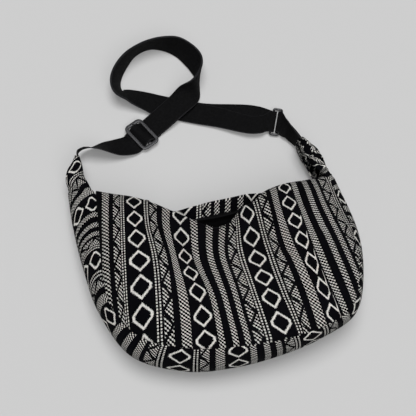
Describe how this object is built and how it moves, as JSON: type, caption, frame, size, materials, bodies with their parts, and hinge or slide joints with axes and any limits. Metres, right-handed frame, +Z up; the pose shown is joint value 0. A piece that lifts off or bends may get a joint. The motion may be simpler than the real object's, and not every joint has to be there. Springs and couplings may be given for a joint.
{
  "type": "crossbody bag",
  "caption": "Soft half-moon crossbody bag in patterned woven cloth, gathered at both ends, with a zip mouth, webbing strap, sliding adjuster and ring.",
  "frame": {"origin": "on the ground under the middle of the bag's flat back panel", "axes": "+X along the bag's width, +Y towards the mouth and the strap, +Z up through the front panel"},
  "size_m": [0.4019, 0.5601, 0.1074],
  "materials": {
    "jacquard_cloth": "black and off-white woven pattern, matte",
    "black_lining": "matte thin cloth",
    "black_webbing": "matte ribbed webbing",
    "gunmetal": "dark plated, satin",
    "black_zip": "matte tape with nylon teeth"
  },
  "bodies": {
    "bag": {"front_panel": "jacquard_cloth", "back_panel": "jacquard_cloth", "gusset": "jacquard_cloth", "lining": "black_lining", "zip_tape_front": "black_zip", "zip_tape_back": "black_zip", "strap_webbing": "black_webbing", "strap_adjuster": "gunmetal", "strap_ring": "gunmetal", "ring_tab": "black_webbing"},
    "slider": {"zip_slider": "gunmetal"},
    "pull": {"zip_pull": "gunmetal"}
  },
  "joints": [
    {"name": "zip_slide", "type": "slide", "parent": "bag", "child": "slider", "axis": [0.9107, -0.3991, 0.1062], "range_m": [-0.042, 0]},
    {"name": "zip_pull_turn", "type": "hinge", "parent": "slider", "child": "pull", "pos_m": [-0.08804, 0.12878, 0.05146], "axis": [0.1982, 0.1967, -0.9602], "range_deg": [0, 160]}
  ]
}
